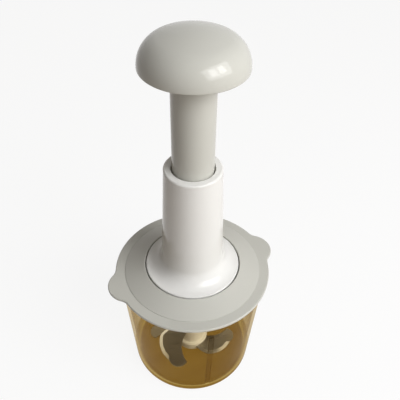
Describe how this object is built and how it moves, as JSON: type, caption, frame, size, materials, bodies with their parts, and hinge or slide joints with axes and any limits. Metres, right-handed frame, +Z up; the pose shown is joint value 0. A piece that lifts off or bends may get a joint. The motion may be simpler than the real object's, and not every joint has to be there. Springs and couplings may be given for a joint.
{
  "type": "plunger food chopper",
  "caption": "Hand press food chopper: clear bowl with S-blades on a pin, lid with a column handle, and a domed plunger whose spiral drive spins the blades.",
  "frame": {"origin": "centre of the bowl's underside, which is also the bottom centre of the whole part", "axes": "+Z up along the plunger, the spindle and the bowl; the lid's two lift tabs along +X and -X; the bowl's inner ribs 4.5 degrees clockwise of +Y and -Y"},
  "size_m": [0.1346, 0.12, 0.2944],
  "materials": {
    "clear_bowl": "clear moulded plastic with a warm amber tint, polished",
    "grey_plastic": "warm light grey, satin gloss",
    "white_plastic": "white, glossy",
    "hub_plastic": "cream white, smooth",
    "bush_plastic": "natural bearing plastic",
    "drive_plastic": "dark grey, fine matt",
    "seal_rubber": "soft, pale grey",
    "blade_steel": "stainless, ground edges",
    "steel": "bright drawn steel",
    "spring_steel": "spring wire"
  },
  "bodies": {
    "bowl_body": {"bowl": "clear_bowl", "blade_pin": "steel"},
    "blade_unit": {"blade_hub": "hub_plastic", "lower_blade": "blade_steel", "upper_blade": "blade_steel"},
    "lid_unit": {"lid": "grey_plastic", "lid_seal": "seal_rubber", "shaft_seal": "seal_rubber", "handle_column": "white_plastic", "top_bush": "bush_plastic", "base_plate": "white_plastic", "base_screws": "steel", "shaft_bush": "bush_plastic", "thrust_washers": "steel", "clutch_housing": "drive_plastic"},
    "plunger": {"plunger_tube": "grey_plastic", "guide_collar": "bush_plastic", "knob_cap": "grey_plastic", "knob_plate": "grey_plastic", "knob_screws": "steel", "drive_nut": "bush_plastic", "return_spring": "spring_steel"},
    "spindle_unit": {"drive_shaft": "drive_plastic", "pawl_rotor": "bush_plastic", "drive_spindle": "steel"}
  },
  "joints": [
    {"name": "lid_lift", "type": "slide", "parent": "bowl_body", "child": "lid_unit", "axis": [0, 0, 1], "range_m": [0, 0.12]},
    {"name": "plunger_slide", "type": "slide", "parent": "lid_unit", "child": "plunger", "axis": [0, 0, -1], "range_m": [0, 0.066], "stiffness_N_per_m": 700, "springref_m": -0.012, "deforming": ["return_spring"]},
    {"name": "spindle_spin", "type": "hinge", "parent": "lid_unit", "child": "spindle_unit", "pos_m": [0, 0, 0.11], "axis": [0, 0, 1], "continuous": true},
    {"name": "blade_spin", "type": "hinge", "parent": "bowl_body", "child": "blade_unit", "pos_m": [0, 0, 0.005], "axis": [0, 0, 1], "continuous": true}
  ],
  "couplings": [
    {"joint": "spindle_spin", "follows": "plunger_slide", "rad_per_m": -142.8},
    {"joint": "blade_spin", "follows": "plunger_slide", "rad_per_m": -142.8}
  ]
}
